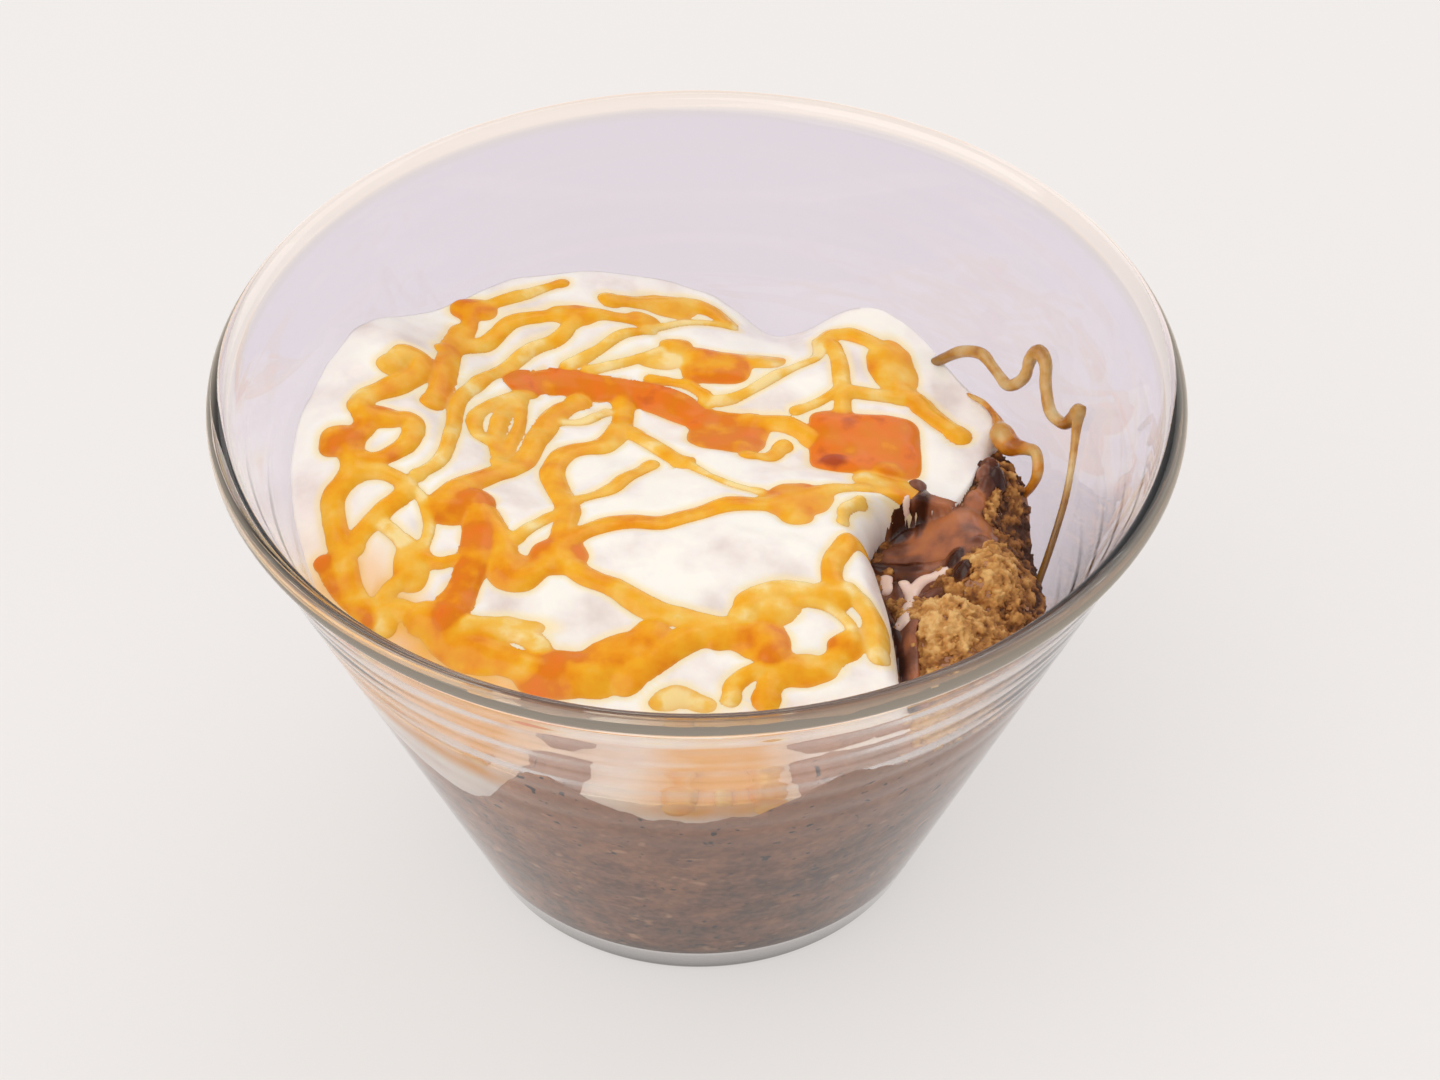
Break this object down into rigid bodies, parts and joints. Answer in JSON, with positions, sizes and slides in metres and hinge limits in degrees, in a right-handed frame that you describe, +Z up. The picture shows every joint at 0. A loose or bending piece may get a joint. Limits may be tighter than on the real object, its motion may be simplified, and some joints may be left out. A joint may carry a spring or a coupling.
{
  "type": "cream fattah dessert in a glass bowl",
  "caption": "Cold layered dessert in a flared clear glass bowl: soaked bread mash under cream with honey drizzled over it.",
  "frame": {"origin": "middle of the bowl's underside, on the surface it stands on", "axes": "+Z up through the middle of the bowl, -Y towards the front that the picture shows, +X to its right"},
  "size_m": [0.13, 0.13, 0.083],
  "materials": {
    "bowl_glass": "clear pressed glass with low rings round the outside",
    "bread_mash": "moist soaked bread crumb, brown with darker specks",
    "cream": "thick soft cream with an even damp sheen",
    "honey": "clear amber honey, glossy"
  },
  "bodies": {
    "root": {"glass_bowl": "bowl_glass", "fattah_mash": "bread_mash", "cream": "cream", "honey_strand": "honey", "honey_loop": "honey"}
  },
  "joints": []
}
